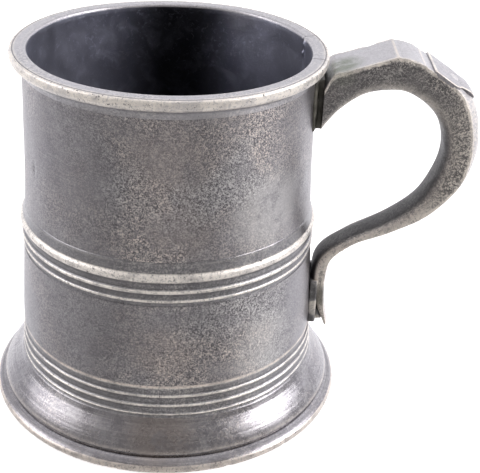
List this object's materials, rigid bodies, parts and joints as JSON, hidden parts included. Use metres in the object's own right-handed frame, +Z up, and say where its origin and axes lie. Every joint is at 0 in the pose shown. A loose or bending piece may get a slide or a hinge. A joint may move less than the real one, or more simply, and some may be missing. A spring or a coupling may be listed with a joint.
{
  "type": "pewter tankard",
  "caption": "Lidless pewter tankard with a drum body, turned bands, flared foot and a cast loop handle with a thumb tongue.",
  "frame": {"origin": "middle of the whole box, on the surface that the tankard stands on; the drum's axis is 19.1 mm from it towards -X", "axes": "+X towards the handle, in the handle's middle plane; +Z up along the drum's axis; +Y completes the frame"},
  "size_m": [0.152, 0.1138, 0.1168],
  "materials": {
    "lip_pewter": "worn cast pewter, pale flat top and pitted bright bead",
    "drum_pewter": "turned pewter with a grey patina, fine scratches and warm wear patches",
    "band_pewter": "turned reeds, bright on the ridges and dark in the grooves",
    "foot_pewter": "turned pewter with circular tool marks and bright worn edges",
    "floor_pewter": "dark oxidised pewter",
    "handle_pewter": "rough as-cast pewter with a filed pale outer face",
    "tongue_pewter": "filed and hand-worn pale pewter",
    "solder": "dark soldered pewter with dirt in the recess"
  },
  "bodies": {
    "root": {"lip_ring": "lip_pewter", "lip_patch": "lip_pewter", "upper_drum": "drum_pewter", "girdle_band": "band_pewter", "lower_drum": "drum_pewter", "reeded_collar": "band_pewter", "floor_plate": "floor_pewter", "foot_skirt": "foot_pewter", "foot_ring": "foot_pewter", "handle": "handle_pewter", "handle_tongue": "tongue_pewter", "upper_lug": "solder", "lower_lug": "solder"}
  },
  "joints": []
}
